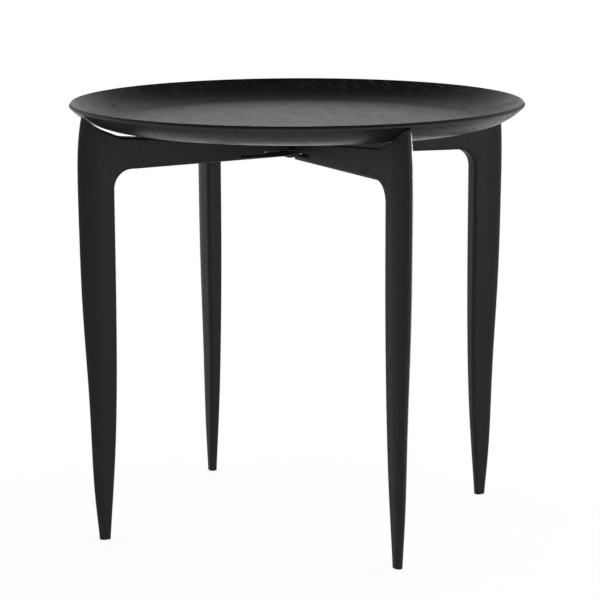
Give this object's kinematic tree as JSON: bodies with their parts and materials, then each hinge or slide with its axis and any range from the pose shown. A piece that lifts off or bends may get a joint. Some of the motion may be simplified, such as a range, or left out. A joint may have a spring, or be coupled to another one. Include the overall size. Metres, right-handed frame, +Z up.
{
  "type": "folding tray table",
  "caption": "Low round side table with a lift-off dished wooden tray on a frame of horned legs that folds flat about crossed steel straps.",
  "frame": {"origin": "on the floor, under the middle of the tray and of the frame's centre rivet", "axes": "+Z up; front is -Y; the four legs stand at equal angles to the X axis, the wider gaps between them at front and back"},
  "size_m": [0.4496, 0.4496, 0.4249],
  "materials": {
    "tray_veneer": "moulded oak veneer, black stained, satin lacquer, open grain",
    "leg_wood": "solid oak, black stained, satin lacquer, grain along the leg",
    "arm_wood": "solid oak, black stained, satin lacquer, grain along the arm",
    "dowel_wood": "bare beech, fluted",
    "strap_steel": "steel strip, coated black, satin",
    "pin_steel": "turned steel, coated black, satin"
  },
  "bodies": {
    "lower_strap": {"lower_strap": "strap_steel", "centre_rivet": "pin_steel", "centre_washer": "pin_steel"},
    "upper_strap": {"upper_strap": "strap_steel"},
    "tray": {"tray": "tray_veneer"},
    "back_right_leg": {"leg_back_right": "leg_wood", "arm_back_right": "arm_wood", "dowels_back_right": "dowel_wood", "arm_pin_back_right": "pin_steel", "spacer_back_right": "pin_steel"},
    "back_left_leg": {"leg_back_left": "leg_wood", "arm_back_left": "arm_wood", "dowels_back_left": "dowel_wood", "arm_pin_back_left": "pin_steel", "spacer_back_left": "pin_steel"},
    "front_left_leg": {"leg_front_left": "leg_wood", "arm_front_left": "arm_wood", "dowels_front_left": "dowel_wood", "arm_pin_front_left": "pin_steel", "spacer_front_left": "pin_steel"},
    "front_right_leg": {"leg_front_right": "leg_wood", "arm_front_right": "arm_wood", "dowels_front_right": "dowel_wood", "arm_pin_front_right": "pin_steel", "spacer_front_right": "pin_steel"}
  },
  "joints": [
    {"name": "frame_fold", "type": "hinge", "parent": "lower_strap", "child": "upper_strap", "pos_m": [0, 0, 0.3745], "axis": [0, 0, 1], "range_deg": [0, 63.24]},
    {"name": "back_right_swing", "type": "hinge", "parent": "lower_strap", "child": "back_right_leg", "pos_m": [0.04072, 0.03844, 0.3745], "axis": [0, 0, 1], "range_deg": [-9.2, 0]},
    {"name": "back_left_swing", "type": "hinge", "parent": "upper_strap", "child": "back_left_leg", "pos_m": [-0.02618, 0.02471, 0.3745], "axis": [0, 0, 1], "range_deg": [0, 14.36]},
    {"name": "front_left_swing", "type": "hinge", "parent": "lower_strap", "child": "front_left_leg", "pos_m": [-0.04072, -0.03844, 0.3745], "axis": [0, 0, 1], "range_deg": [-9.2, 0]},
    {"name": "front_right_swing", "type": "hinge", "parent": "upper_strap", "child": "front_right_leg", "pos_m": [0.02618, -0.02471, 0.3745], "axis": [0, 0, 1], "range_deg": [0, 14.36]},
    {"name": "tray_lift", "type": "slide", "parent": "lower_strap", "child": "tray", "axis": [0, 0, 1], "range_m": [0, 0.08]}
  ],
  "couplings": [
    {"joint": "back_right_swing", "follows": "frame_fold", "ratio": -0.14461},
    {"joint": "back_left_swing", "follows": "frame_fold", "ratio": 0.22633},
    {"joint": "front_left_swing", "follows": "frame_fold", "ratio": -0.14461},
    {"joint": "front_right_swing", "follows": "frame_fold", "ratio": 0.22633}
  ]
}
